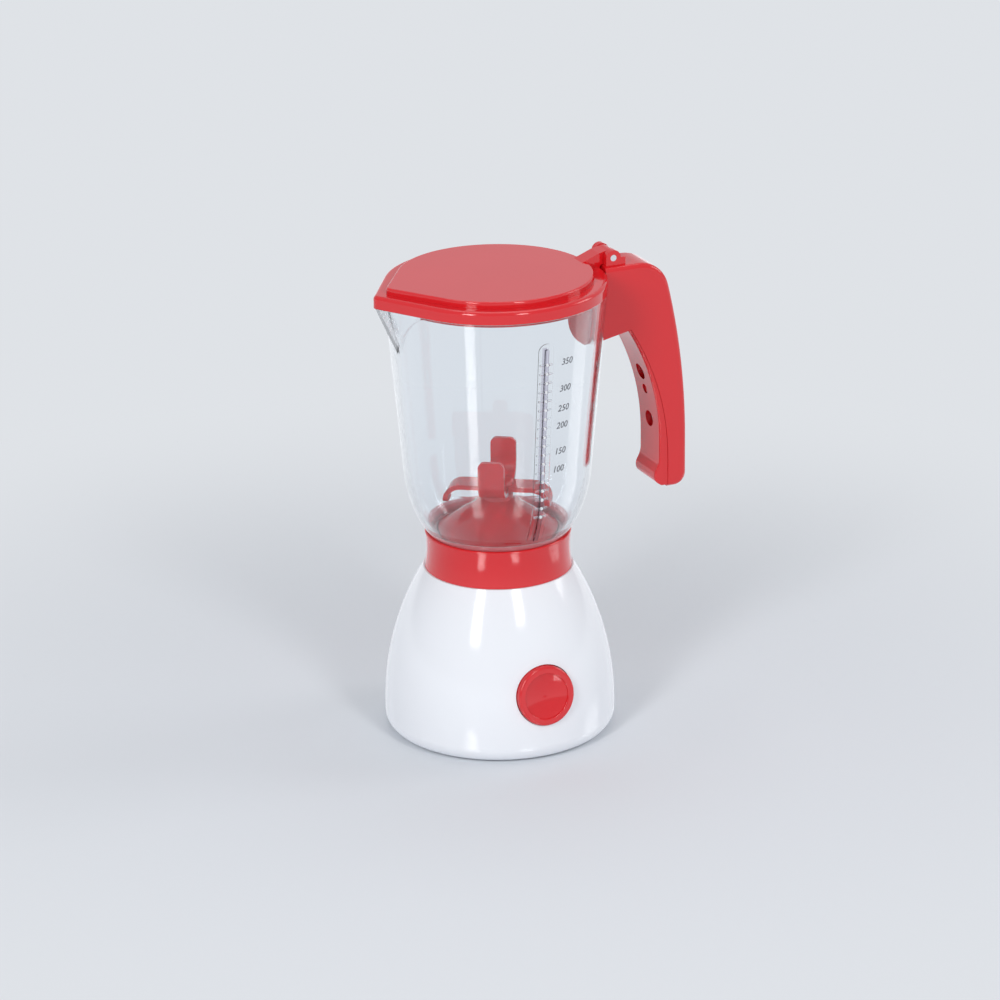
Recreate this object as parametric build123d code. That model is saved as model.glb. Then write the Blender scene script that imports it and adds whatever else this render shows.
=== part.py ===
from build123d import *
import os
from math import acos, asin, atan2, cos, degrees, hypot, pi, radians, sin, sqrt, tan

# Toy blender: a bell-shaped base with a push button, a lift-off jug with a
# collar, a four-winged blade, a clip-on handle and a hinged lid.
# Millimetres. +Z is up, and the origin is the centre of the base's underside.
# The button faces -Y, the pouring spout faces -X and the handle faces +X.

# ---------------------------------------------------------------- clearances
press_gap = 0.02        # a pressed or glued seat
running_gap = 0.05      # a shaft turning in its bearing
sliding_gap = 0.3       # parts that slide past each other
seat_gap = 0.1          # one part resting on another

# ---------------------------------------------------------------- base shell
base_radius = 46.4          # at the belly
base_belly_height = 10.0    # height of the widest ring
base_edge_radius = 6.5      # rounding under the belly
base_height = 68.3          # floor to the shoulder that carries the collar
base_shoulder_radius = 30.2
base_wall = 2.2
base_rim_width = 1.6        # flat ring that the shell stands on

plate_thickness = 2.2
plate_boss_height = 3.6     # bearing bosses above the plate

seat_ring_radius = 22.5     # raised ring that centres the collar
seat_ring_wall = 2.2
seat_ring_height = 4.0

boss_radius = 3.4           # screw bosses of the shell
boss_edge_distance = 4.6    # screw axis inside the plate's rim
boss_bearings = [0, 120, 240]
boss_height = 18.0
boss_web = 1.8

# -------------------------------------------------------------------- screws
screw_shank_radius = 1.2
screw_shank_length = 9.0
screw_head_radius = 2.6
screw_head_height = 1.5
screw_slot_width = 0.9
screw_slot_depth = 0.7
screw_head_recess = 1.7     # depth of a counterbore over the head
bracket_screw_length = 7.0
handle_screw_length = 6.0

# ---------------------------------------------------------------- gear train
gear_module = 0.8
pressure_angle = radians(25)
gear_addendum = 0.68
gear_dedendum = 0.88
gear_backlash = 0.2
rack_pinion_teeth = 12
wheel_teeth = 36
spindle_teeth = 12
wheel_thickness = 3.5
wheel_bottom = 6.2          # underside of the large wheel
wheel_web_thickness = 1.8
wheel_rim_depth = 2.2       # solid ring behind the teeth
wheel_hole_count = 5
wheel_hole_radius = 2.6
pinion_margin = 1.0         # pinion teeth beyond the rack on each side
axle_radius = 1.25
spindle_radius = 2.0
spindle_teeth_height = 4.4
spindle_hub_radius = 3.2
spindle_hub_height = 4.0

# --------------------------------------------------------------- push button
button_height = 27.5        # button axis above the floor
button_radius = 12.0
button_proud = 1.0          # face beyond the shell at the button's axis
button_travel = 5.5
button_wall = 1.8
button_dish_radius = 9.1
button_dish_step = 0.8
button_dish_depth = 1.5
button_dish_round = 0.5
button_edge_round = 1.1
button_flange = 1.6         # lip behind the sleeve that keeps the button in
button_flange_thickness = 1.3
button_boss_radius = 4.1
button_boss_length = 4.4
sleeve_wall = 1.7
sleeve_depth = 5.4          # shell surface to the sleeve's inner end

stem_width = 3.6            # rack bar, across X
stem_height = 5.5           # rack bar, across Z
rack_pitch_offset = 2.6     # pitch line from the button's axis
rack_tooth_count = 5
spring_wire_radius = 0.4
spring_mean_radius = 5.0
spring_turns = 5

# -------------------------------------------------------------- gear bracket
bracket_height = 34.0       # underside of the bracket plate
bracket_thickness = 2.2
pillar_radius = 3.4
pillar_places = [(-17.0, -14.0), (26.8, -9.0), (2.0, 15.0)]
lug_distance = 29.5         # rear face of the spring lug from the spindle
lug_thickness = 2.0
lug_width = 17.0
lug_drop = 13.5
guide_thickness = 1.8
guide_length = 14.0

# --------------------------------------------------------------------- drive
bush_radius = 3.8
bush_length = 10.0
bush_flange_radius = 5.6
bush_flange_thickness = 1.0
bush_boss_wall = 2.4
peg_width = 8.5
peg_height = 7.6
peg_round = 0.9
peg_top_chamfer = 0.8

# -------------------------------------------------------------------- collar
collar_radius = 29.6
collar_waist = 0.8          # how far the side draws in
collar_height = 15.4
collar_wall = 2.3
collar_lip_round = 0.7
collar_floor_height = 6.2   # underside of the floor above the shoulder
collar_floor_thickness = 1.8
cone_radius = 24.4          # foot of the cone that closes the jug
cone_foot_height = 16.2     # top of the cone's foot above the shoulder
cone_wall = 2.0
tower_radius = 6.2
tower_foot_height = 28.4    # cone meets tower, above the shoulder
tower_height = 31.0         # top of the tower above the shoulder
tower_tube_radius = 5.4
tower_tube_drop = 12.0

# ----------------------------------------------------------------------- jug
jug_wall = 2.2
jug_neck_radius = 27.1
jug_foot_radius = 28.7      # where the jug leaves the collar
jug_bend_radius = 37.4      # where the curved foot meets the straight side
jug_bend_height = 109.0
jug_rim_radius = 44.0
jug_rim_height = 182.6
spout_reach = 52.2          # spout tip from the axis
spout_drop = 24.0
spout_tip_round = 4.5
rib_bearing = 2.7           # rib's turn from the front towards the handle, degrees
rib_width = 1.6
rib_depth = 1.1
rib_bottom = 88.5
rib_top = 171.0
band_width = 6.6            # low band under the rib
band_depth = 0.35
band_top = 173.2

# -------------------------------------------------------------------- handle
handle_width = 18.8
handle_cover_inset = 0.3    # cover narrower than the shell, each side
handle_top = 188.2
handle_reach = 79.6         # outer face from the jug's axis
handle_grip_height = 112.0  # where the outer face stands upright
handle_bottom = 92.4
handle_back_radius = 277.0
handle_elbow_round = 13.5
handle_hollow_top = 178.0
handle_corner_radius = 5.2
handle_edge_round = 2.0
handle_wall = 2.2
handle_root_wall = 3.0      # wall beside the jug
handle_depth = 12.0         # front to back at the grip
handle_inner_x = handle_reach - handle_depth    # face towards the fingers
handle_inner_radius = 93.0
cover_depth = 3.6
handle_step_x = handle_inner_x + cover_depth    # joint between shell and cover
handle_step_height = 105.0
cover_taper = 11.0          # the cover grows thicker towards its top
handle_step_radius = handle_inner_radius + cover_taper
handle_crotch_height = 162.4
handle_root_height = 158.2  # underside where it meets the jug
toe_depth = 2.2
toe_rise = 6.4              # toe's tip above the handle's bottom
toe_nose = 3.4              # upright length of the tip
toe_slope = 4.2             # slope above the tip
toe_undercut = 3.2
toe_round = 4.0
toe_hollow_round = 9.0
cover_lift = 0.8            # cover's bottom above the shell's
cover_edge_round = 0.7
neck_width = 14.4
neck_bottom = 160.2
flange_width = 21.0
flange_bottom = 156.0
flange_top_gap = 0.6
flange_thickness = 1.8
flange_corner = 8.5
cover_screw_heights = [119.5, 140.0]
cover_recess_radius = 3.3
cover_recess_depth = 3.6    # face to the seat of the screw's head
cover_cup_wall = 1.3
cover_cup_floor = 1.5
locating_pin_height = 132.4
locating_pin_radius = 1.7
locating_boss_radius = 3.0

# ----------------------------------------------------------------------- lid
lid_radius = 44.2
lid_tip_reach = 52.2
lid_rim_height = 5.0
lid_rim_round = 1.6
lid_panel_inset = 5.4
lid_panel_height = 2.5
lid_panel_round = 0.8
lid_wall = 1.8
lid_tip_round = 3.0
plug_clearance = 0.9
plug_wall = 1.5
plug_depth = 1.6
plug_notch_margin = 1.3     # opening beside the handle's plate
plug_mouth_width = 30.0     # opening towards the spout

# --------------------------------------------------------------------- hinge
hinge_setback = 3.9         # hinge axis beyond the lid's rim
hinge_pin_radius = 1.3
hinge_knuckle_radius = 2.9
hinge_knuckle_width = 7.4
hinge_ear_thickness = 2.8
hinge_ear_radius = 3.2
hinge_pin_head = 0.6
hinge_neck_width = 13.0

# --------------------------------------------------------------------- blade
hub_radius = 6.35
hub_height = 4.6
hub_top_round = 1.0
wing_width = 10.4
wing_thickness = 1.9
raised_wing_radius = 15.4
raised_wing_bend = 7.4
raised_wing_top = 17.4      # above the tower
lowered_wing_radius = 20.6
lowered_wing_bend = 6.2
lowered_wing_tip = 4.6      # below the tower's top
wing_corner = 2.6
wing_turn = 56.5            # raised wings' bearing from +X, degrees
rotor_shaft_radius = 2.0
rotor_bush_radius = 3.3
rotor_bush_length = 12.0
socket_radius = 8.0
socket_height = 16.4
socket_roof = 1.0           # air above the peg

# ------------------------------------------------------------ derived values
base_drop = base_radius - base_shoulder_radius
base_rise = base_height - base_belly_height
base_side_radius = (base_drop**2 + base_rise**2) / (2 * base_drop)
plate_radius = base_radius - base_edge_radius - base_rim_width - seat_gap
boss_circle_radius = plate_radius - boss_edge_distance
boss_places = [
    (boss_circle_radius * cos(radians(a)), boss_circle_radius * sin(radians(a)))
    for a in boss_bearings
]

rack_pinion_radius = gear_module * rack_pinion_teeth / 2
wheel_radius = gear_module * wheel_teeth / 2
spindle_pitch_radius = gear_module * spindle_teeth / 2
train_distance = wheel_radius + spindle_pitch_radius
axle_x = rack_pitch_offset + rack_pinion_radius
axle_y = -sqrt(train_distance**2 - axle_x**2)
mesh_bearing = degrees(atan2(-axle_y, -axle_x))     # from the axle to the spindle
rack_pitch = pi * gear_module

peg_bottom = base_height + bush_flange_thickness + seat_gap
peg_top = peg_bottom + peg_height
collar_bottom = base_height + seat_gap
collar_top = collar_bottom + collar_height
collar_floor = base_height + collar_floor_height
cone_foot = base_height + cone_foot_height
tower_foot = base_height + tower_foot_height
tower_top = base_height + tower_height
jug_neck_bottom = collar_floor + collar_floor_thickness + seat_gap
jug_foot_height = collar_top + seat_gap
hub_bottom = tower_top + sliding_gap
socket_top = tower_top - tower_tube_drop - sliding_gap


# ------------------------------------------------------------- small helpers
def outline(*pieces):
    """Closed face from lines, polylines and arcs that follow each other."""
    return make_face([edge for piece in pieces for edge in piece.edges()])


def turned(*pieces):
    """Solid of revolution about the vertical axis from a closed (r, z) profile."""
    return revolve(Plane.XZ * outline(*pieces), Axis.Z)


def disc(radius, bottom, top, x=0.0, y=0.0):
    """Upright cylinder between two heights."""
    return Pos(x, y, bottom) * extrude(Circle(radius), top - bottom)


def block(x_span, y_span, z_span):
    """Box between three pairs of limits."""
    size = [b - a for a, b in (x_span, y_span, z_span)]
    centre = [(a + b) / 2 for a, b in (x_span, y_span, z_span)]
    return Pos(*centre) * Box(*size)


def screw(length):
    """Pan-head screw, head down, its head's underside at the origin."""
    head = Pos(0, 0, -screw_head_height) * extrude(Circle(screw_head_radius), screw_head_height)
    head = chamfer(head.edges().sort_by(Axis.Z)[0], screw_head_height / 3)
    slot = Pos(0, 0, -screw_head_height) * Box(
        2 * screw_head_radius + 1, screw_slot_width, 2 * screw_slot_depth
    )
    return head + extrude(Circle(screw_shank_radius), length) - slot


def export(name, shape):
    """Write one named part."""
    export_step(shape, f"parts/{name}.step")


# ---------------------------------------------------------------------- base
def base_side_x(height, inset=0.0):
    """Radius of the shell's side at a height above the belly."""
    reach = base_side_radius - inset
    return base_radius - base_side_radius + sqrt(reach**2 - (height - base_belly_height) ** 2)


def bell(inset, bottom, top, foot_radius):
    """Solid inside the shell's outer surface, drawn in by inset."""
    edge_centre_x = base_radius - base_edge_radius
    edge_round = base_edge_radius - inset
    middle = (base_belly_height + top) / 2
    return turned(
        Line((0, bottom), (foot_radius, bottom)),
        Line((foot_radius, bottom), (foot_radius, inset)),
        Line((foot_radius, inset), (edge_centre_x, inset)),
        ThreePointArc(
            (edge_centre_x, inset),
            (
                edge_centre_x + edge_round * sin(pi / 4),
                base_edge_radius - edge_round * cos(pi / 4),
            ),
            (base_radius - inset, base_edge_radius),
        ),
        Line((base_radius - inset, base_edge_radius), (base_radius - inset, base_belly_height)),
        ThreePointArc(
            (base_radius - inset, base_belly_height),
            (base_side_x(middle, inset), middle),
            (base_side_x(top, inset), top),
        ),
        Line((base_side_x(top, inset), top), (0, top)),
        Line((0, top), (0, bottom)),
    )


def solid_bell():
    """Outer shape of the base without its hollow."""
    edge_centre_x = base_radius - base_edge_radius
    middle = (base_belly_height + base_height) / 2
    return turned(
        Line((0, 0), (edge_centre_x, 0)),
        ThreePointArc(
            (edge_centre_x, 0),
            (
                edge_centre_x + base_edge_radius * sin(pi / 4),
                base_edge_radius * (1 - cos(pi / 4)),
            ),
            (base_radius, base_edge_radius),
        ),
        Line((base_radius, base_edge_radius), (base_radius, base_belly_height)),
        ThreePointArc(
            (base_radius, base_belly_height),
            (base_side_x(middle), middle),
            (base_shoulder_radius, base_height),
        ),
        Line((base_shoulder_radius, base_height), (0, base_height)),
        Line((0, base_height), (0, 0)),
    )


button_wall_y = -base_side_x(button_height)          # shell surface on the button's axis
button_tilt = degrees(asin((button_height - base_belly_height) / base_side_radius))
sleeve_end = button_wall_y + sleeve_depth
button_face_y = button_wall_y - button_proud


def along_button(radius, front, back):
    """Cylinder on the button's axis between two Y values."""
    return Pos(0, front, button_height) * Rot(-90, 0, 0) * extrude(Circle(radius), back - front)


def base_housing():
    outer = solid_bell()
    hollow = bell(base_wall, -1, base_height - base_wall, plate_radius + seat_gap)
    shell = outer - hollow
    for x, y in boss_places:
        post = disc(boss_radius, plate_thickness + seat_gap, boss_height, x, y)
        bearing = degrees(atan2(y, x))
        web = Rot(0, 0, bearing) * block(
            (boss_circle_radius, base_radius),
            (-boss_web / 2, boss_web / 2),
            (base_edge_radius, boss_height),
        )
        shell += post + (web & outer)
        shell -= disc(screw_shank_radius + press_gap, 0, boss_height - boss_web, x, y)
    sleeve = along_button(button_radius + sliding_gap + sleeve_wall, -base_radius, sleeve_end)
    shell += sleeve & outer
    shell -= along_button(button_radius + sliding_gap, -base_radius - 5, sleeve_end + 1)
    ring = disc(seat_ring_radius, base_height, base_height + seat_ring_height)
    ring -= disc(
        seat_ring_radius - seat_ring_wall, base_height, base_height + seat_ring_height
    )
    ring = chamfer(ring.edges().group_by(Axis.Z)[-1], seat_ring_wall / 5)
    bush_boss = disc(
        bush_radius + bush_boss_wall,
        base_height + bush_flange_thickness - bush_length,
        base_height - base_wall,
    )
    shell += ring + bush_boss
    return shell - disc(bush_radius + press_gap, base_height - 2 * bush_length, base_height)


def bottom_plate():
    plate = disc(plate_radius, 0, plate_thickness)
    boss_top = plate_thickness + plate_boss_height
    plate += disc(spindle_radius + 2.4, plate_thickness, boss_top)
    plate += disc(axle_radius + 2.0, plate_thickness, boss_top, axle_x, axle_y)
    plate -= disc(spindle_radius + running_gap, plate_thickness, boss_top)
    plate -= disc(axle_radius + press_gap, plate_thickness, boss_top, axle_x, axle_y)
    for x, y in boss_places:
        plate -= disc(screw_shank_radius + sliding_gap, 0, plate_thickness, x, y)
        plate -= disc(
            screw_head_radius + sliding_gap, 0, screw_head_recess - sliding_gap, x, y
        )
    for x, y in pillar_places:
        pillar = disc(pillar_radius, plate_thickness, bracket_height - seat_gap, x, y)
        depth = bracket_screw_length + 1
        plate += pillar - disc(
            screw_shank_radius + press_gap, bracket_height - depth, bracket_height, x, y
        )
    return plate


def bottom_screws():
    height = screw_head_recess - sliding_gap
    one = screw(screw_shank_length)
    return Compound(children=[Pos(x, y, height) * one for x, y in boss_places])


# ---------------------------------------------------------------- gear train
def polar(radius, angle):
    return (radius * cos(angle), radius * sin(angle))


def gear_outline(teeth, flank_steps=3):
    """Spur gear outline with one tooth centred on +X."""
    pitch_radius = gear_module * teeth / 2
    base_circle = pitch_radius * cos(pressure_angle)
    root = pitch_radius - gear_dedendum
    tip = pitch_radius + gear_addendum
    foot = max(root, base_circle)
    half_tooth = (pi * gear_module - gear_backlash) / (4 * pitch_radius)
    at_pitch = tan(pressure_angle) - pressure_angle

    def half_angle(radius):
        slope = acos(base_circle / radius)
        return half_tooth + at_pitch - (tan(slope) - slope)

    flank = [foot + (tip - foot) * step / flank_steps for step in range(flank_steps + 1)]
    if foot > root:
        flank = [root] + flank
    points = []
    for tooth in range(teeth):
        centre = 2 * pi * tooth / teeth
        side = [(radius, half_angle(max(radius, foot))) for radius in flank]
        points += [polar(radius, centre - angle) for radius, angle in side]
        points += [polar(radius, centre + angle) for radius, angle in reversed(side)]
    return make_face(Polyline(*points, close=True))


def compound_gear():
    """Large wheel below, rack pinion above, one moulding on the axle."""
    boss_top = plate_thickness + plate_boss_height
    wheel_top = wheel_bottom + wheel_thickness
    pinion_bottom = button_height - stem_height / 2 - pinion_margin
    pinion_top = button_height + stem_height / 2 + pinion_margin
    root = rack_pinion_radius - gear_dedendum
    wheel = Pos(0, 0, wheel_bottom) * extrude(
        Rot(0, 0, mesh_bearing) * gear_outline(wheel_teeth), wheel_thickness
    )
    rim = wheel_radius - gear_dedendum - wheel_rim_depth
    pocket_depth = (wheel_thickness - wheel_web_thickness) / 2
    for low in (wheel_bottom, wheel_top - pocket_depth):
        wheel -= disc(rim, low, low + pocket_depth) - disc(root + 1.4, low, low + pocket_depth)
    for hole in range(wheel_hole_count):
        angle = 2 * pi * hole / wheel_hole_count
        x, y = polar((rim + root + 1.4) / 2, angle)
        wheel -= disc(wheel_hole_radius, wheel_bottom, wheel_top, x, y)
    gear = wheel + disc(root, boss_top + seat_gap, bracket_height - sliding_gap)
    gear += Pos(0, 0, pinion_bottom) * extrude(
        gear_outline(rack_pinion_teeth), pinion_top - pinion_bottom
    )
    gear -= disc(axle_radius + running_gap, 0, bracket_height)
    return Pos(axle_x, axle_y, 0) * gear


def gear_axle():
    return disc(
        axle_radius, plate_thickness, bracket_height + bracket_thickness, axle_x, axle_y
    )


def spindle_pinion():
    bottom = plate_thickness + plate_boss_height + seat_gap
    half_pitch = 180 / spindle_teeth
    teeth = Rot(0, 0, mesh_bearing + 180 + half_pitch) * gear_outline(spindle_teeth)
    pinion = Pos(0, 0, bottom) * extrude(teeth, spindle_teeth_height)
    top = bottom + spindle_teeth_height + spindle_hub_height
    pinion += disc(spindle_hub_radius, bottom, top)
    return pinion - disc(spindle_radius + press_gap, 0, top)


def drive_spindle():
    return disc(spindle_radius, plate_thickness + seat_gap, peg_top - peg_top_chamfer - 1.0)


def spindle_bush():
    top = base_height + bush_flange_thickness
    bush = disc(bush_radius, top - bush_length, top) + disc(bush_flange_radius, base_height, top)
    return bush - disc(spindle_radius + running_gap, top - bush_length, top)


def drive_peg():
    peg = extrude(RectangleRounded(peg_width, peg_width, peg_round), peg_height)
    peg = chamfer(peg.faces().sort_by(Axis.Z)[-1].edges(), peg_top_chamfer)
    peg = Pos(0, 0, peg_bottom) * peg
    return peg - disc(
        spindle_radius + press_gap, peg_bottom, peg_top - peg_top_chamfer - 1.0 + press_gap
    )


def gear_bracket():
    """Plate on the pillars: holds the axle's top, guides the rack, backs the spring."""
    top = bracket_height + bracket_thickness
    lug_corner_x = lug_width / 2 - lug_thickness
    lug_corner_y = lug_thickness - lug_distance
    round_places = pillar_places + [(-lug_corner_x, lug_corner_y), (lug_corner_x, lug_corner_y)]
    rounds = [
        edge
        for x, y in round_places
        for edge in (Pos(x, y) * Circle(pillar_radius)).edges()
    ]
    plate = Pos(0, 0, bracket_height) * extrude(make_hull(rounds), bracket_thickness)
    lug = block(
        (-lug_width / 2, lug_width / 2),
        (-lug_distance - lug_thickness, -lug_distance),
        (bracket_height - lug_drop, top),
    )
    guide = block(
        (-stem_width / 2 - sliding_gap - guide_thickness, -stem_width / 2 - sliding_gap),
        (-lug_distance, -lug_distance + guide_length),
        (button_height - stem_height / 2, bracket_height),
    )
    bracket = plate + lug + guide
    bracket -= block(
        (-stem_width / 2 - sliding_gap, rack_pitch_offset + gear_addendum + sliding_gap),
        (-lug_distance - lug_thickness - 1, -lug_distance),
        (
            button_height - stem_height / 2 - sliding_gap,
            button_height + stem_height / 2 + sliding_gap,
        ),
    )
    bracket -= disc(spindle_radius + running_gap, bracket_height, top)
    bracket -= disc(axle_radius + press_gap, bracket_height, top, axle_x, axle_y)
    for x, y in pillar_places:
        bracket -= disc(screw_shank_radius + sliding_gap, bracket_height, top, x, y)
    return bracket


def bracket_screws():
    one = Rot(180, 0, 0) * screw(bracket_screw_length)
    top = bracket_height + bracket_thickness
    return Compound(children=[Pos(x, y, top) * one for x, y in pillar_places])


# -------------------------------------------------------------------- button
button_back = sleeve_end + seat_gap + button_flange_thickness
button_floor = button_face_y + button_dish_step + button_dish_depth + button_wall


def push_button():
    cap = along_button(button_radius, button_face_y - 3, button_back)
    face_plane = Pos(0, button_face_y, button_height) * Rot(-button_tilt, 0, 0)
    beyond = 4 * button_radius
    cap -= face_plane * Pos(0, -beyond / 2, 0) * Box(beyond, beyond, beyond)
    cap = fillet(cap.edges().sort_by(Axis.Y)[0], button_edge_round)
    dish_axis = face_plane * Rot(90, 0, 0)
    bowl_radius = (button_dish_radius**2 + button_dish_depth**2) / (2 * button_dish_depth)
    bowl = Pos(0, 0, bowl_radius - button_dish_step - button_dish_depth) * Sphere(bowl_radius)
    well = Pos(0, 0, -2 * (button_dish_step + button_dish_depth)) * extrude(
        Circle(button_dish_radius), button_radius
    )
    cap -= dish_axis * (bowl & well)
    rims = ShapeList(edge for edge in cap.edges() if edge.is_closed)
    cap = fillet(rims.sort_by_distance((0, button_face_y, button_height))[0], button_dish_round)
    cap += along_button(
        button_radius + button_flange, button_back - button_flange_thickness, button_back
    )
    cap -= along_button(button_radius - button_wall, button_floor, button_back)
    boss_end = button_floor + button_boss_length
    cap += along_button(button_boss_radius, button_floor - 0.2, boss_end)
    gap = press_gap
    return cap - block(
        (-stem_width / 2 - gap, stem_width / 2 + gap),
        (button_floor, boss_end),
        (button_height - stem_height / 2 - gap, button_height + stem_height / 2 + gap),
    )


def button_rack():
    """Bar from the button to the rack pinion, toothed on its +X side."""
    root = rack_pitch_offset - gear_dedendum
    tip = rack_pitch_offset + gear_addendum
    last = axle_y + rack_pitch / 2
    half_pitch_line = (rack_pitch - gear_backlash) / 4
    half_root = half_pitch_line + gear_dedendum * tan(pressure_angle)
    half_tip = half_pitch_line - gear_addendum * tan(pressure_angle)
    end = last + rack_pitch / 2
    points = [(-stem_width / 2, button_floor + press_gap), (-stem_width / 2, end), (root, end)]
    for tooth in range(rack_tooth_count):
        centre = last - tooth * rack_pitch
        points += [
            (root, centre + half_root),
            (tip, centre + half_tip),
            (tip, centre - half_tip),
            (root, centre - half_root),
        ]
    start = last - rack_tooth_count * rack_pitch
    points += [
        (root, start),
        (stem_width / 2, start),
        (stem_width / 2, button_floor + press_gap),
    ]
    bar = extrude(make_face(Polyline(*points, close=True)), stem_height)
    return Pos(0, 0, button_height - stem_height / 2) * bar


def button_spring():
    """Compression spring between the button and the bracket's lug."""
    length = -lug_distance - lug_thickness - button_floor - 2 * spring_wire_radius - 2 * seat_gap
    coil = Helix(length / spring_turns, length, spring_mean_radius)
    section = Plane(origin=coil @ 0, z_dir=coil % 0) * Circle(spring_wire_radius)
    wire = sweep(section, path=coil)
    start = button_floor + spring_wire_radius + seat_gap
    return Pos(0, start, button_height) * Rot(-90, 0, 0) * wire


# -------------------------------------------------------------------- collar
def collar():
    """Red skirt, floor cone and bearing tower in one moulding."""
    inner = collar_radius - collar_wall
    waist_height = (collar_bottom + collar_top) / 2
    lip_radius = collar_radius - 0.2
    lip_start = collar_top - collar_lip_round
    groove = jug_neck_radius + seat_gap
    bore = rotor_bush_radius + press_gap
    floor_top = collar_floor + collar_floor_thickness
    tube_bottom = tower_top - tower_tube_drop
    slope = atan2(tower_foot - cone_foot, cone_radius - tower_radius)
    lift = cone_wall / cos(slope)
    cone_inner = cone_radius - cone_wall
    meets_tube = tower_foot - lift - (tower_tube_radius - tower_radius) * tan(slope)
    return turned(
        Line((inner, collar_bottom), (collar_radius, collar_bottom)),
        ThreePointArc(
            (collar_radius, collar_bottom),
            (collar_radius - collar_waist, waist_height),
            (lip_radius, lip_start),
        ),
        ThreePointArc(
            (lip_radius, lip_start),
            (lip_radius - collar_lip_round * 0.3, collar_top - collar_lip_round * 0.3),
            (lip_radius - collar_lip_round, collar_top),
        ),
        Polyline(
            (lip_radius - collar_lip_round, collar_top),
            (groove, collar_top),
            (groove, floor_top),
            (cone_radius, floor_top),
            (cone_radius, cone_foot),
            (tower_radius, tower_foot),
            (tower_radius, tower_top),
            (bore, tower_top),
            (bore, tube_bottom),
            (tower_tube_radius, tube_bottom),
            (tower_tube_radius, meets_tube),
            (cone_inner, cone_foot - lift + cone_wall * tan(slope)),
            (cone_inner, collar_floor),
            (inner, collar_floor),
            (inner, collar_bottom),
        ),
    )


# ----------------------------------------------------------------------- jug
hinge_x = lid_radius + hinge_setback
hinge_height = handle_top + sliding_gap + hinge_knuckle_radius
jug_slope = (jug_rim_radius - jug_bend_radius) / (jug_rim_height - jug_bend_height)


def jug_side_radius(height):
    """Outer radius of the jug's straight side."""
    return jug_rim_radius - (jug_rim_height - height) * jug_slope


def jug_body(inset, bottom, top):
    """Solid inside the jug's outer surface, drawn in by inset."""
    length = hypot(1, jug_slope)
    normal = (-1 / length, jug_slope / length)
    gap = (jug_foot_radius - jug_bend_radius, jug_foot_height - jug_bend_height)
    reach = (gap[0] ** 2 + gap[1] ** 2) / (2 * (gap[0] * normal[0] + gap[1] * normal[1]))
    centre = (jug_bend_radius + reach * normal[0], jug_bend_height + reach * normal[1])
    inner_reach = reach - inset

    def curve_x(height):
        return centre[0] + sqrt(inner_reach**2 - (height - centre[1]) ** 2)

    foot = (curve_x(jug_foot_height), jug_foot_height)
    bend = (jug_bend_radius + inset * normal[0], jug_bend_height + inset * normal[1])
    middle_height = (jug_foot_height + jug_bend_height) / 2
    neck = jug_neck_radius - inset
    rim = jug_side_radius(top) - inset * length
    return turned(
        Polyline((0, bottom), (neck, bottom), (neck, jug_foot_height), foot),
        ThreePointArc(foot, (curve_x(middle_height), middle_height), bend),
        Polyline(bend, (rim, top), (0, top), (0, bottom)),
    )


def teardrop(radius, reach, tip_round):
    """Circle drawn out to a rounded point on -X."""
    bearing = acos(radius / reach)
    touch_x = -radius * cos(bearing)
    touch_y = radius * sin(bearing)
    wedge = make_face(Polyline((-reach, 0), (touch_x, touch_y), (touch_x, -touch_y), close=True))
    shape = Circle(radius) + wedge
    tip = shape.vertices().sort_by(Axis.X)[0]
    return fillet(tip, tip_round)


def spout(inset, top):
    """Wedge that runs out from the side to the pouring lip."""
    rim = jug_rim_radius - inset
    reach = spout_reach - inset * spout_reach / jug_rim_radius
    bearing = acos(rim / reach)
    low = jug_rim_height - spout_drop
    low_reach = jug_side_radius(low) - inset - 1.0
    grow = (top - low) / spout_drop

    def section(height, tip_x, touch_x, touch_y, tip_round):
        face = make_face(
            Polyline((-tip_x, 0), (-touch_x, touch_y), (-touch_x, -touch_y), close=True)
        )
        tip = face.vertices().sort_by(Axis.X)[0]
        return Pos(0, 0, height) * fillet(tip, tip_round)

    low_touch = (low_reach - 3.0, 2.4)
    touch = (rim * cos(bearing), rim * sin(bearing))
    return loft(
        [
            section(low, low_reach, low_touch[0], low_touch[1], spout_tip_round / 5),
            section(
                top,
                low_reach + (reach - low_reach) * grow,
                low_touch[0] + (touch[0] - low_touch[0]) * grow,
                low_touch[1] + (touch[1] - low_touch[1]) * grow,
                spout_tip_round,
            ),
        ],
        ruled=True,
    )


def handle_slot(gap):
    """Upright slot through the wall for the handle's neck, open at the rim."""
    half = neck_width / 2 + gap
    low = neck_bottom - gap
    return Pos(jug_rim_radius, 0, 0) * (
        block((-14, 14), (-half, half), (low + half, jug_rim_height + 2))
        + Pos(-14, 0, low + half) * Rot(0, 90, 0) * extrude(Circle(half), 28)
    )


def front_band(width, depth, top):
    """Raised band up the jug's front with a round upper end."""
    shoulder = top - width / 2
    face = Pos(0, (rib_bottom + shoulder) / 2) * Rectangle(width, shoulder - rib_bottom)
    face += Pos(0, shoulder) * Circle(width / 2)
    slab = Rot(0, 0, rib_bearing) * extrude(Plane.XZ * face, 2 * jug_rim_radius)
    return slab & jug_body(-depth, jug_neck_bottom, jug_rim_height)


def jug():
    outer = jug_body(0, jug_neck_bottom, jug_rim_height) + spout(0, jug_rim_height)
    outer += front_band(band_width, band_depth, band_top)
    outer += front_band(rib_width, rib_depth, rib_top)
    above = jug_rim_height + 1
    inner = jug_body(jug_wall, jug_neck_bottom - 1, above) + spout(jug_wall, above)
    return outer - inner - handle_slot(seat_gap)


# -------------------------------------------------------------------- handle
def arc_through(x_top, radius, upright_height, height):
    """X of a big arc that stands upright at one height."""
    return x_top - radius + sqrt(radius**2 - (height - upright_height) ** 2)


def back_x(height, inset=0.0):
    return arc_through(handle_reach, handle_back_radius, handle_grip_height, height) - inset


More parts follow.
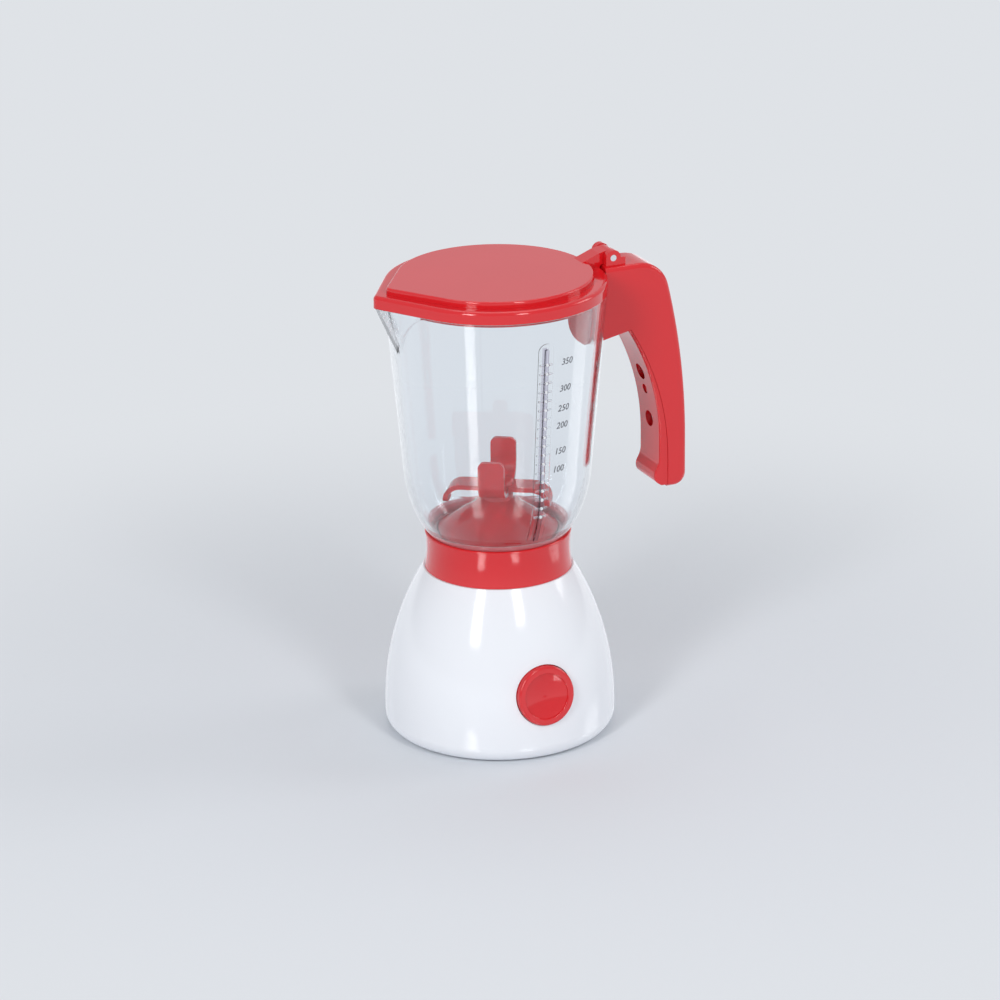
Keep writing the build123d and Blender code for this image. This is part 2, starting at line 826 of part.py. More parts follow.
def step_x(height):
    return arc_through(handle_step_x, handle_step_radius, handle_step_height, height)


def inner_x(height):
    return arc_through(handle_inner_x, handle_inner_radius, handle_grip_height, height)


def upright(outline, half_width):
    """Extrude an (x, z) outline evenly to both sides of the middle plane."""
    return extrude(Plane.XZ * outline, half_width, both=True)


def handle_shell_outline():
    """Side view of the handle without its rounded corners."""
    top_corner = (back_x(handle_top), handle_top)
    middle = (handle_top + handle_grip_height) / 2
    step_top = (step_x(handle_crotch_height - 1.0), handle_crotch_height - 1.0)
    step_middle = (handle_step_height + handle_crotch_height) / 2
    root_x = jug_side_radius(handle_root_height) - jug_wall
    top_x = jug_side_radius(handle_top) - 3.0
    return outline(
        Line((top_x, handle_top), top_corner),
        ThreePointArc(top_corner, (back_x(middle), middle), (handle_reach, handle_grip_height)),
        Polyline(
            (handle_reach, handle_grip_height),
            (handle_reach, handle_bottom),
            (handle_step_x, handle_bottom),
            (handle_step_x, handle_step_height),
        ),
        ThreePointArc(
            (handle_step_x, handle_step_height),
            (step_x(step_middle), step_middle),
            step_top,
        ),
        Polyline(step_top, (root_x, handle_root_height), (top_x, handle_top)),
    )


def handle_cavity_outline():
    """Hollow of the handle, open towards the cover."""
    low = handle_bottom + handle_wall
    high = handle_hollow_top
    middle = (low + high) / 2
    step_high = handle_crotch_height - 4.0
    roof = handle_crotch_height + handle_wall
    root = (lid_radius + handle_root_wall, roof)
    lip = (step_x(handle_crotch_height) + handle_wall, roof)
    return outline(
        Line((handle_step_x - 1, low), (handle_reach - handle_wall, low)),
        Line((handle_reach - handle_wall, low), (handle_reach - handle_wall, handle_grip_height)),
        ThreePointArc(
            (handle_reach - handle_wall, handle_grip_height),
            (back_x(middle, handle_wall), middle),
            (back_x(high, handle_wall), high),
        ),
        Line((back_x(high, handle_wall), high), (root[0], high)),
        Line((root[0], high), root),
        Line(root, lip),
        Line(lip, (step_x(step_high) - 1, step_high)),
        Line((step_x(step_high) - 1, step_high), (step_x(step_high) + 1, step_high - 8)),
        Line((step_x(step_high) + 1, step_high - 8), (handle_step_x - 1, handle_step_height)),
        Line((handle_step_x - 1, handle_step_height), (handle_step_x - 1, low)),
    )


def along_handle(radius, front, back, height):
    """Cylinder along X through the handle between two X values."""
    return Pos(front, 0, height) * Rot(0, 90, 0) * extrude(Circle(radius), back - front)


def screw_seat_x(height):
    """Where the head of a cover screw bears."""
    return inner_x(height) + cover_recess_depth


def cross_edge(body, x, z):
    """Edge of the body that runs across the handle at a corner."""
    return body.edges().filter_by(Axis.Y).sort_by_distance((x, 0, z))[0]


def handle_shell():
    half = handle_width / 2
    body = upright(handle_shell_outline(), half)
    body = fillet(cross_edge(body, back_x(handle_top), handle_top), handle_elbow_round)
    body = fillet(cross_edge(body, handle_reach, handle_bottom), handle_corner_radius)
    back = [
        edge
        for edge in body.edges()
        if abs(abs(edge.center().Y) - half) < 0.01
        and edge.center().X > 50
        and edge.center().X > step_x(min(edge.center().Z, handle_crotch_height)) + 0.5
    ]
    body = fillet(back, handle_edge_round)
    skin = body
    body -= upright(handle_cavity_outline(), half - handle_wall)
    for height in cover_screw_heights:
        start = screw_seat_x(height) + cover_cup_floor + seat_gap
        body += along_handle(boss_radius, start, handle_reach, height) & skin
        tip = screw_seat_x(height) + handle_screw_length + sliding_gap
        body -= along_handle(screw_shank_radius + press_gap, start, tip, height)
    height = locating_pin_height
    body += along_handle(locating_boss_radius, step_x(height) + seat_gap, handle_reach, height) & skin
    body += along_handle(
        locating_pin_radius, inner_x(height) + locating_pin_radius / 2, handle_reach, height
    ) & upright(handle_back_outline(), handle_width / 2)
    body -= jug_body(-seat_gap, jug_neck_bottom, handle_top + 5)
    body -= disc(lid_radius + sliding_gap, jug_rim_height, handle_top + 5)
    neck = handle_slot(-seat_gap) & (
        jug_body(0.5, jug_neck_bottom, jug_rim_height - flange_top_gap)
        - jug_body(jug_wall + seat_gap + flange_thickness / 2, jug_neck_bottom, jug_rim_height)
    )
    neck += handle_slot(-seat_gap) & block(
        (jug_rim_radius - jug_wall - 2, jug_rim_radius + 2),
        (-half, half),
        (neck_bottom, jug_rim_height - flange_top_gap),
    )
    return body + (neck - jug_body(jug_wall + seat_gap + 0.1, jug_neck_bottom, handle_top)) + flange()


def flange():
    """Curved plate inside the jug that grips the edges of the slot."""
    top = jug_rim_height - flange_top_gap
    side = Plane.YZ * Pos(0, (top + flange_bottom) / 2) * Rectangle(
        flange_width, top - flange_bottom
    )
    slab = extrude(side, jug_rim_radius)
    low_edges = slab.edges().filter_by(Axis.X).group_by(Axis.Z)[0]
    slab = fillet(low_edges, flange_corner)
    skin = jug_body(jug_wall + seat_gap, jug_neck_bottom, top)
    skin -= jug_body(jug_wall + seat_gap + flange_thickness, jug_neck_bottom, top)
    return slab & skin


def handle_face(top):
    """Curve of the face towards the fingers, from its top down."""
    middle = (handle_grip_height + top) / 2
    return ThreePointArc(
        (inner_x(top), top), (inner_x(middle), middle), (handle_inner_x, handle_grip_height)
    )


def handle_back_outline():
    """Side view of everything behind the face towards the fingers."""
    top = handle_crotch_height
    return outline(
        handle_face(top),
        Polyline(
            (handle_inner_x, handle_grip_height),
            (handle_inner_x, handle_bottom),
            (handle_reach - handle_wall / 2, handle_bottom),
            (handle_reach - handle_wall / 2, top),
            (inner_x(top), top),
        ),
    )


def handle_cover():
    half = handle_width / 2 - handle_cover_inset
    top = handle_crotch_height - 1.0 - 3 * seat_gap
    middle = (handle_step_height + top) / 2
    back = handle_step_x - seat_gap
    low = handle_bottom + cover_lift
    toe_x = handle_inner_x - toe_depth
    toe_height = handle_bottom + toe_rise
    cover = upright(
        outline(
            handle_face(top),
            Polyline(
                (handle_inner_x, handle_grip_height),
                (handle_inner_x, toe_height + toe_slope),
                (toe_x, toe_height),
                (toe_x, toe_height - toe_nose),
                (toe_x + toe_undercut, low),
                (back, low),
                (back, handle_step_height),
            ),
            ThreePointArc(
                (back, handle_step_height),
                (step_x(middle) - seat_gap, middle),
                (step_x(top) - seat_gap, top),
            ),
            Line((step_x(top) - seat_gap, top), (inner_x(top), top)),
        ),
        half,
    )
    cover = fillet(
        cross_edge(cover, handle_inner_x, toe_height + toe_slope), toe_hollow_round
    )
    cover = fillet(cross_edge(cover, toe_x, toe_height), toe_round)
    cover = fillet(cross_edge(cover, toe_x, toe_height - toe_nose), toe_round)
    cover = fillet(cross_edge(cover, toe_x + toe_undercut, low), toe_round / 2)
    front = [
        edge
        for edge in cover.edges()
        if abs(abs(edge.center().Y) - half) < 0.01
        and edge.center().X < step_x(edge.center().Z) - 2 * cover_edge_round
        and edge.center().Z < top - 0.01
        and edge.center().Z > low + 0.01
    ]
    cover = fillet(front, cover_edge_round)
    behind = upright(handle_back_outline(), half)
    for height in cover_screw_heights:
        face, seat = inner_x(height), screw_seat_x(height)
        cup = along_handle(
            cover_recess_radius + cover_cup_wall,
            face - cover_recess_radius,
            seat + cover_cup_floor,
            height,
        )
        cover += cup & behind
        cover -= along_handle(cover_recess_radius, face - cover_recess_radius, seat, height)
        cover -= along_handle(
            screw_shank_radius + sliding_gap, seat, seat + 2 * cover_cup_floor, height
        )
    height = locating_pin_height
    return cover - along_handle(
        locating_pin_radius + sliding_gap, inner_x(height) - locating_boss_radius, back, height
    )


def handle_screws():
    one = Rot(0, 90, 0) * screw(handle_screw_length)
    return Compound(
        children=[Pos(screw_seat_x(height), 0, height) * one for height in cover_screw_heights]
    )


def hinge_ears():
    inner = hinge_knuckle_width / 2 + sliding_gap
    ears = Part()
    for low in (inner, -inner - hinge_ear_thickness):
        ear = Pos(hinge_x, low, hinge_height) * Rot(-90, 0, 0) * extrude(
            Circle(hinge_ear_radius), hinge_ear_thickness
        )
        foot = block(
            (hinge_x - hinge_ear_radius, hinge_x + hinge_ear_radius + 2.0),
            (low, low + hinge_ear_thickness),
            (handle_top - 1.0, hinge_height),
        )
        ears += ear + foot
    reach = inner + hinge_ear_thickness + 1
    hole = Pos(hinge_x, -reach, hinge_height) * Rot(-90, 0, 0) * extrude(
        Circle(hinge_pin_radius + press_gap), 2 * reach
    )
    return ears - hole


def hinge_pin():
    reach = hinge_knuckle_width / 2 + sliding_gap + hinge_ear_thickness
    return Pos(hinge_x, -reach, hinge_height) * Rot(-90, 0, 0) * extrude(
        Circle(hinge_pin_radius), 2 * reach
    )


# ----------------------------------------------------------------------- lid
lid_bottom = jug_rim_height + seat_gap
lid_rim_top = lid_bottom + lid_rim_height
lid_panel_top = lid_rim_top + lid_panel_height


def lid_layer(inset, bottom, top, tip_round):
    shape = teardrop(lid_radius - inset, (lid_tip_reach - inset), tip_round)
    return Pos(0, 0, bottom) * extrude(shape, top - bottom)


def lid():
    rim = lid_layer(0, lid_bottom, lid_rim_top, lid_tip_round)
    rim = fillet(rim.edges().group_by(Axis.Z)[-1], lid_rim_round)
    panel = lid_layer(lid_panel_inset, lid_rim_top - 1, lid_panel_top, lid_tip_round)
    panel = fillet(panel.edges().group_by(Axis.Z)[-1], lid_panel_round)
    hollow = lid_layer(lid_wall, lid_bottom - 1, lid_rim_top - lid_wall, lid_tip_round)
    hollow += lid_layer(
        lid_panel_inset + lid_wall, lid_bottom, lid_panel_top - lid_wall, lid_tip_round
    )
    plug_radius = jug_rim_radius - jug_wall - plug_clearance
    plug_bottom = jug_rim_height - plug_depth
    plug = disc(plug_radius, plug_bottom, lid_rim_top - lid_wall)
    plug -= disc(plug_radius - plug_wall, plug_bottom, lid_rim_top)
    notch = flange_width / 2 + plug_notch_margin
    plug -= block(
        (lid_radius / 2, lid_radius + 5), (-notch, notch), (0, lid_bottom + seat_gap)
    )
    mouth = plug_mouth_width / 2
    plug -= block((-lid_tip_reach, -lid_radius / 2), (-mouth, mouth), (0, lid_rim_top - lid_wall))
    shell = rim + panel - hollow + plug
    half = hinge_knuckle_width / 2
    knuckle = Pos(hinge_x, -half, hinge_height) * Rot(-90, 0, 0) * extrude(
        Circle(hinge_knuckle_radius), 2 * half
    )
    neck_start = lid_radius - lid_panel_inset - 3
    neck = upright(
        make_face(
            Polyline(
                (neck_start, lid_rim_top - lid_wall),
                (lid_radius - lid_wall, lid_rim_top - lid_wall),
                (lid_radius, handle_top + sliding_gap),
                (hinge_x, handle_top + sliding_gap),
                (hinge_x, hinge_height + hinge_knuckle_radius),
                (lid_radius - 1, hinge_height + hinge_knuckle_radius - 1.2),
                (neck_start, lid_panel_top),
                close=True,
            )
        ),
        half,
    )
    bore = Pos(hinge_x, -half - 1, hinge_height) * Rot(-90, 0, 0) * extrude(
        Circle(hinge_pin_radius + running_gap), 2 * half + 2
    )
    return shell + knuckle + neck - bore


# --------------------------------------------------------------------- rotor
def wing(points_up):
    """One ribbon wing along +X, bent up or down at its end."""
    mid = hub_bottom + hub_height / 2
    start = hub_radius - 1.5
    if points_up:
        bend = raised_wing_bend
        reach = raised_wing_radius
        end = tower_top + raised_wing_top
        low = hub_bottom + wing_thickness / 2
        path = [
            Line((start, low), (reach - bend, low)),
            ThreePointArc(
                (reach - bend, low),
                (reach - bend + bend * sin(pi / 4), low + bend * (1 - cos(pi / 4))),
                (reach, low + bend),
            ),
            Line((reach, low + bend), (reach, end)),
        ]
    else:
        bend = lowered_wing_bend
        reach = lowered_wing_radius
        end = tower_top - lowered_wing_tip
        path = [
            Line((start, mid), (reach - bend, mid)),
            ThreePointArc(
                (reach - bend, mid),
                (reach - bend + bend * sin(pi / 4), mid - bend * (1 - cos(pi / 4))),
                (reach, mid - bend),
            ),
            Line((reach, mid - bend), (reach, end)),
        ]
    blade = upright(trace(path, wing_thickness), wing_width / 2)
    tip_edges = blade.edges().filter_by(Axis.X)
    tip_edges = tip_edges.filter_by(lambda edge: abs(edge.center().Z - end) < wing_thickness)
    return fillet(tip_edges, wing_corner)


def blade_rotor():
    hub = disc(hub_radius, hub_bottom, hub_bottom + hub_height)
    hub = fillet(hub.edges().group_by(Axis.Z)[-1], hub_top_round)
    raised = wing(True)
    lowered = wing(False)
    rotor = hub + raised + Rot(0, 0, 180) * raised
    rotor += Rot(0, 0, 90) * lowered + Rot(0, 0, 270) * lowered
    rotor = Rot(0, 0, wing_turn) * rotor
    return rotor - disc(
        rotor_shaft_radius + press_gap, hub_bottom, hub_bottom + hub_height - hub_top_round
    )


def rotor_shaft():
    return disc(
        rotor_shaft_radius, socket_top - 4.0, hub_bottom + hub_height - hub_top_round - press_gap
    )


def rotor_bush():
    bush = disc(rotor_bush_radius, tower_top - rotor_bush_length, tower_top)
    return bush - disc(
        rotor_shaft_radius + running_gap, tower_top - rotor_bush_length, tower_top
    )


def drive_socket():
    """Cup under the jug whose square pocket drops over the peg."""
    bottom = socket_top - socket_height
    cup = disc(socket_radius, bottom, socket_top)
    side = peg_width + 2 * sliding_gap
    pocket = Pos(0, 0, bottom) * extrude(
        RectangleRounded(side, side, peg_round), peg_top + socket_roof - bottom
    )
    return cup - pocket - disc(rotor_shaft_radius + press_gap, socket_top - 4.0, socket_top)


# --------------------------------------------------------------------- write
os.makedirs("parts", exist_ok=True)

parts = {
    "base_housing": base_housing(),
    "bottom_plate": bottom_plate(),
    "bottom_screws": bottom_screws(),
    "gear_bracket": gear_bracket(),
    "bracket_screws": bracket_screws(),
    "gear_axle": gear_axle(),
    "compound_gear": compound_gear(),
    "spindle_pinion": spindle_pinion(),
    "drive_spindle": drive_spindle(),
    "spindle_bush": spindle_bush(),
    "drive_peg": drive_peg(),
    "push_button": push_button(),
    "button_rack": button_rack(),
    "button_spring": button_spring(),
    "collar": collar(),
    "jug": jug(),
    "handle_shell": handle_shell() + hinge_ears(),
    "handle_cover": handle_cover(),
    "handle_screws": handle_screws(),
    "hinge_pin": hinge_pin(),
    "lid": lid(),
    "blade_rotor": blade_rotor(),
    "rotor_shaft": rotor_shaft(),
    "rotor_bush": rotor_bush(),
    "drive_socket": drive_socket(),
}

for name, shape in parts.items():
    export(name, shape)
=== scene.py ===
from math import cos, radians, sin

import bpy
from mathutils import Euler, Matrix, Vector


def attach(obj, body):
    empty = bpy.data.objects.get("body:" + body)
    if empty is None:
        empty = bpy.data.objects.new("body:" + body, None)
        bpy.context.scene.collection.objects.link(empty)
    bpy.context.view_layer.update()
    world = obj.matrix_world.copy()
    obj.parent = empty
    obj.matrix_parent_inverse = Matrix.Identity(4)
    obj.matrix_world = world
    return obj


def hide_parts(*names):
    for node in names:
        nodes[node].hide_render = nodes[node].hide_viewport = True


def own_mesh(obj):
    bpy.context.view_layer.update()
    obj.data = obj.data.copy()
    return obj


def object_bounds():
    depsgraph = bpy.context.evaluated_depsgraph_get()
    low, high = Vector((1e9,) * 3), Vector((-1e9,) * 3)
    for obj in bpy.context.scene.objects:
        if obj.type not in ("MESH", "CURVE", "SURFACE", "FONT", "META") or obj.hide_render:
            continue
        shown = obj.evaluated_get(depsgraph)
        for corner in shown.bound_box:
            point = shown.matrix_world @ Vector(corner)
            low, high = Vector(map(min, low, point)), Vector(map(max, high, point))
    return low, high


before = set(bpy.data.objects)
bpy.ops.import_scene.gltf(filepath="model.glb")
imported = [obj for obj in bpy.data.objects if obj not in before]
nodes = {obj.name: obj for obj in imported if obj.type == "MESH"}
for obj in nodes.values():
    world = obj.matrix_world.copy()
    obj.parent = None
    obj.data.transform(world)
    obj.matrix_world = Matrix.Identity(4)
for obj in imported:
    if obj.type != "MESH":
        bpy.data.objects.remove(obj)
cad_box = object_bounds()

MM = 0.001
scene = bpy.context.scene

# Places on the jug, in millimetres; bearings are degrees round it from the front.
rib_bearing = 2.7
rib_half_width = 0.92
rib_bottom, rib_top = 88.5, 171.2
rib_outside, rib_inside = -60.0, -20.0
foot_bottom, foot_top = 60.0, 86.4
rim_bottom, rim_top = 182.45, 190.0
spout_outside, spout_inside = -60.0, -42.8
spout_half_width = 4.6

# Looks of the jug.
jug_colour = (0.95, 0.97, 0.99)
# grey painted shade on the rib, for the dark line that its thick clear plastic shows
rib_painted_shade = (0.56, 0.52, 0.62)
# red painted image of the collar, seen through the foot of the jug
foot_painted_collar = (0.80, 0.20, 0.22)
# how much less light the foot lets through, so that the painted collar shows
foot_painted_collar_share = 0.5
edge_haze = 0.45

# ------------------------------------------------------------------ camera
camera_place = (-0.6703, -1.5016, 0.7030)
camera_bearing = -24.087
camera_elevation = 20.288
camera_roll = -0.596

camera_data = bpy.data.cameras.new("camera")
camera_data.lens = 158.05
camera_data.sensor_width = 36.0
camera_data.clip_end = 20.0
camera = bpy.data.objects.new("camera", camera_data)
scene.collection.objects.link(camera)
turn = Euler((radians(90 - camera_elevation), 0, radians(camera_bearing)), "XYZ").to_matrix()
roll = Matrix.Rotation(radians(camera_roll), 3, "Z")
camera.matrix_world = Matrix.Translation(camera_place) @ (turn @ roll).to_4x4()
scene.camera = camera


# ------------------------------------------------------------ shader nodes
def new_material(name, **sockets):
    """A new material, its node tree and its shader, with plain values on the sockets."""
    made = bpy.data.materials.new(name)
    made.use_nodes = True
    tree = made.node_tree
    shader = tree.nodes["Principled BSDF"]
    for key, value in sockets.items():
        shader.inputs[key.replace("_", " ")].default_value = value
    return made, tree, shader


def add(tree, kind, **settings):
    """A new node, with its options and its plain inputs set by name."""
    node = tree.nodes.new(kind)
    for key, value in settings.items():
        if hasattr(node, key):
            setattr(node, key, value)
        else:
            node.inputs[key.replace("_", " ")].default_value = value
    return node


def calculate(tree, operation, *terms):
    """Result of one math node, whose terms are links or plain numbers."""
    node = add(tree, "ShaderNodeMath", operation=operation)
    for term, socket in zip(terms, node.inputs):
        if isinstance(term, float):
            socket.default_value = term
        else:
            tree.links.new(term, socket)
    return node.outputs[0]


def noise(tree, place, scale, detail):
    """Noise from 0 to 1 on the piece's own coordinates."""
    made = add(tree, "ShaderNodeTexNoise", Scale=scale, Detail=detail)
    tree.links.new(place.outputs["Object"], made.inputs["Vector"])
    return made.outputs["Fac"]


def mixed(tree, amount, one, other):
    """The first colour where the amount is 0 and the other colour where it is 1."""
    mix = add(tree, "ShaderNodeMix", data_type="RGBA", B=(*other, 1))
    tree.links.new(amount, mix.inputs["Factor"])
    if isinstance(one, tuple):
        mix.inputs["A"].default_value = (*one, 1)
    else:
        tree.links.new(one, mix.inputs["A"])
    return mix.outputs["Result"]


def spread(tree, amount, low, high):
    """An amount from 0 to 1, spread between two values."""
    node = add(tree, "ShaderNodeMapRange", To_Min=low, To_Max=high)
    tree.links.new(amount, node.inputs["Value"])
    return node.outputs["Result"]


def step(tree, value, edge, soft, before, after):
    """A smooth change as a value passes an edge; edge and soft are in millimetres."""
    node = add(
        tree,
        "ShaderNodeMapRange",
        interpolation_type="SMOOTHSTEP",
        From_Min=(edge - soft) * MM,
        From_Max=(edge + soft) * MM,
        To_Min=before,
        To_Max=after,
    )
    tree.links.new(value, node.inputs["Value"])
    return node.outputs["Result"]


def between(tree, value, low, high, soft):
    """1 where a value lies between two limits in millimetres, with soft edges."""
    rise = step(tree, value, low, soft, 0.0, 1.0)
    fall = step(tree, value, high, soft, 1.0, 0.0)
    return calculate(tree, "MULTIPLY", rise, fall)


# --------------------------------------------------------------- materials
def moulded(name, colour, deep, roughness, wave, grain, depth):
    """Injection-moulded plastic: faint colour drift, slow waviness and a fine skin."""
    made, tree, shader = new_material(name)
    place = add(tree, "ShaderNodeTexCoord")
    drift = noise(tree, place, wave, 2.0)
    skin = noise(tree, place, grain, 3.0)
    gloss = spread(tree, skin, roughness * 0.75, roughness * 1.3)
    bump = add(tree, "ShaderNodeBump", Strength=depth, Distance=0.4 * MM)
    tree.links.new(drift, bump.inputs["Height"])
    tree.links.new(mixed(tree, drift, colour, deep), shader.inputs["Base Color"])
    tree.links.new(gloss, shader.inputs["Roughness"])
    tree.links.new(bump.outputs["Normal"], shader.inputs["Normal"])
    return made


red_plastic = moulded(
    "red_gloss_plastic",
    colour=(0.70, 0.012, 0.018),
    deep=(0.64, 0.009, 0.014),
    roughness=0.085,
    wave=22.0,
    grain=900.0,
    depth=0.10,
)
white_plastic = moulded(
    "white_gloss_plastic",
    colour=(0.88, 0.895, 0.93),
    deep=(0.86, 0.88, 0.92),
    roughness=0.12,
    wave=18.0,
    grain=800.0,
    depth=0.08,
)
cover_plastic = moulded(
    "white_satin_plastic",
    colour=(0.74, 0.76, 0.80),
    deep=(0.70, 0.73, 0.78),
    roughness=0.42,
    wave=25.0,
    grain=1500.0,
    depth=0.10,
)
gear_plastic = moulded(
    "natural_acetal",
    colour=(0.78, 0.76, 0.70),
    deep=(0.72, 0.70, 0.63),
    roughness=0.38,
    wave=60.0,
    grain=2200.0,
    depth=0.08,
)
grey_plastic = moulded(
    "grey_nylon",
    colour=(0.17, 0.175, 0.185),
    deep=(0.13, 0.135, 0.145),
    roughness=0.45,
    wave=60.0,
    grain=2500.0,
    depth=0.10,
)


def rib_mask(tree, place):
    """1 over the whole width and length of the jug's upright rib, 0 elsewhere."""
    turned = add(tree, "ShaderNodeMapping", Rotation=(0, 0, -radians(rib_bearing)))
    tree.links.new(place.outputs["Object"], turned.inputs["Vector"])
    split = add(tree, "ShaderNodeSeparateXYZ")
    tree.links.new(turned.outputs["Vector"], split.inputs["Vector"])
    aside = calculate(tree, "ABSOLUTE", split.outputs["X"])
    across = step(tree, aside, rib_half_width, 0.1, 1.0, 0.0)
    front = between(tree, split.outputs["Y"], rib_outside, rib_inside, 1.0)
    length = between(tree, split.outputs["Z"], rib_bottom, rib_top, 0.3)
    return calculate(tree, "MULTIPLY", calculate(tree, "MULTIPLY", across, front), length)


def clear_plastic():
    """Clear polished plastic with slow moulding waves.

    It bends light less than real styrene does, so that the inside of the jug stays light.
    The rib has a grey painted shade, for the dark line that its thick plastic shows. The foot
    has a red painted image of the collar seen through it, and lets less light through there
    so that it shows. A faint haze on the rim and on the spout softens the hard dark lines
    that thin clear edges give.
    """
    made, tree, shader = new_material(
        "clear_styrene", IOR=1.37, Coat_Weight=0.35, Coat_Roughness=0.02
    )
    place = add(tree, "ShaderNodeTexCoord")
    split = add(tree, "ShaderNodeSeparateXYZ")
    tree.links.new(place.outputs["Object"], split.inputs["Vector"])
    x, y, z = split.outputs

    foot = between(tree, z, foot_bottom, foot_top, 0.4)
    # the rib gets its grey painted shade
    rib_shaded = mixed(tree, rib_mask(tree, place), jug_colour, rib_painted_shade)
    # the foot gets the red painted image of the collar seen through it
    with_painted_collar = mixed(tree, foot, rib_shaded, foot_painted_collar)
    tree.links.new(with_painted_collar, shader.inputs["Base Color"])

    spout = calculate(
        tree,
        "MULTIPLY",
        between(tree, x, spout_outside, spout_inside, 0.8),
        between(tree, y, -spout_half_width, spout_half_width, 1.2),
    )
    rim = between(tree, z, rim_bottom, rim_top, 0.1)
    edges = calculate(tree, "MAXIMUM", spout, rim)
    edges_hazed = calculate(tree, "MULTIPLY_ADD", edges, -edge_haze, 1.0)
    # less light through the foot, so that its painted collar shows
    clearness = calculate(tree, "MULTIPLY_ADD", foot, -foot_painted_collar_share, edges_hazed)
    tree.links.new(clearness, shader.inputs["Transmission Weight"])

    gloss = spread(tree, noise(tree, place, 14.0, 1.0), 0.012, 0.045)
    tree.links.new(gloss, shader.inputs["Roughness"])
    return made


def grained(name, scale, colours, gloss=None, **sockets):
    """A finish whose colour follows one fine grain, and its gloss too where two are given."""
    made, tree, shader = new_material(name, **sockets)
    place = add(tree, "ShaderNodeTexCoord")
    grain = noise(tree, place, scale, 2.0)
    tree.links.new(mixed(tree, grain, *colours), shader.inputs["Base Color"])
    if gloss:
        tree.links.new(spread(tree, grain, *gloss), shader.inputs["Roughness"])
    return made


clear = clear_plastic()
# near-white pips: a painted highlight on each moulded dome, for the glints where the marks
# cross the rib
pip_painted_highlight = grained(
    "pip_painted_highlight_plastic",
    scale=3000.0,
    colours=((0.93, 0.95, 0.97), (0.88, 0.90, 0.93)),
    gloss=(0.25, 0.45),
    Transmission_Weight=0.15,
    IOR=1.45,
)
steel = grained(
    "zinc_plated_steel",
    scale=1800.0,
    colours=((0.62, 0.63, 0.65), (0.50, 0.51, 0.53)),
    gloss=(0.22, 0.36),
    Metallic=1.0,
)
ink = grained(
    "grey_printing_ink",
    scale=1400.0,
    colours=((0.055, 0.060, 0.075), (0.10, 0.105, 0.125)),
    Roughness=0.4,
)

finish = {
    red_plastic: (
        "drive_peg",
        "push_button",
        "collar",
        "handle_shell",
        "handle_cover",
        "lid",
        "blade_rotor",
    ),
    white_plastic: ("base_housing",),
    cover_plastic: ("bottom_plate",),
    gear_plastic: ("compound_gear", "spindle_pinion", "button_rack"),
    grey_plastic: ("gear_bracket", "spindle_bush", "rotor_bush", "drive_socket"),
    steel: (
        "bottom_screws",
        "bracket_screws",
        "gear_axle",
        "drive_spindle",
        "button_spring",
        "handle_screws",
        "hinge_pin",
        "rotor_shaft",
    ),
    clear: ("jug",),
}
for material, names in finish.items():
    for name in names:
        for material_slot in nodes[name].material_slots:
            material_slot.material = material

# ------------------------------------------------------ graduations, spring
# Lengths and heights in millimetres.
stand_off = 70.0               # where a piece starts, before it is laid on the jug
wall_lift = 0.03               # between the jug's wall and what is laid on it
scale_top = 164.6
scale_step = 3.8
scale_marks = 18
mark_width = 5.6
mark_height = 0.65
mark_thickness = 0.42
mark_cuts = 15                 # lets a flat mark follow the round wall
pip_radius = 0.70
pip_sides = 16
pip_rings = 5
figure_size = 3.7
figure_slant = 0.18
figure_boldness = 0.01
ink_thickness = 0.08
figures_beside_scale = (       # words, bearing, height
    ("350", 16.2, 164.1),
    ("300", 15.9, 152.9),
    ("250", 15.5, 144.6),
    ("200", 15.2, 137.4),
    ("150", 14.8, 126.5),
    ("100", 14.2, 118.9),
)
weld_distance = 0.001
smooth_angle = radians(40)


def pick(*objects):
    """Select these objects alone and make the first one active."""
    bpy.ops.object.select_all(action="DESELECT")
    for each in objects:
        each.select_set(True)
    bpy.context.view_layer.objects.active = objects[0]


def join(pieces, name):
    """Join the pieces into one of this name."""
    pick(*pieces)
    bpy.ops.object.join()
    joined = bpy.context.object
    joined.name = name
    return joined


def dress(piece, material):
    """Give a piece this material alone."""
    piece.data.materials.clear()
    piece.data.materials.append(material)


def place_in_front(piece, bearing, height):
    """Stand a piece before the jug, facing out at a bearing from the front."""
    turn_z = radians(bearing)
    piece.rotation_euler = (radians(90), 0, turn_z)
    piece.location = (
        stand_off * MM * sin(turn_z),
        -stand_off * MM * cos(turn_z),
        height * MM,
    )


def lay_on_jug(piece, thickness):
    """Press a flat piece against the jug's wall and give it its thickness."""
    wrap = piece.modifiers.new("lay on wall", "SHRINKWRAP")
    wrap.target = nodes["jug"]
    wrap.wrap_method = "PROJECT"
    wrap.wrap_mode = "ABOVE_SURFACE"
    wrap.use_project_z = True
    wrap.use_positive_direction = False
    wrap.use_negative_direction = True
    wrap.offset = wall_lift * MM
    body = piece.modifiers.new("thickness", "SOLIDIFY")
    body.thickness = thickness * MM
    body.offset = 1.0
    pick(piece)
    bpy.ops.object.modifier_apply(modifier=wrap.name)
    bpy.ops.object.modifier_apply(modifier=body.name)
    bpy.ops.object.transform_apply(location=True, rotation=True, scale=True)


def moulded_marks():
    """Short raised bars that cross the band and the rib of the jug."""
    marks = []
    for count in range(scale_marks):
        bpy.ops.mesh.primitive_plane_add(size=1)
        mark = bpy.context.object
        mark.scale = (mark_width * MM, mark_height * MM, 1)
        bpy.ops.object.transform_apply(location=False, rotation=False, scale=True)
        bpy.ops.object.mode_set(mode="EDIT")
        bpy.ops.mesh.select_all(action="SELECT")
        bpy.ops.mesh.subdivide(number_cuts=mark_cuts)
        bpy.ops.object.mode_set(mode="OBJECT")
        place_in_front(mark, rib_bearing, scale_top - count * scale_step)
        lay_on_jug(mark, mark_thickness)
        marks.append(mark)
    return join(marks, "graduation_marks")


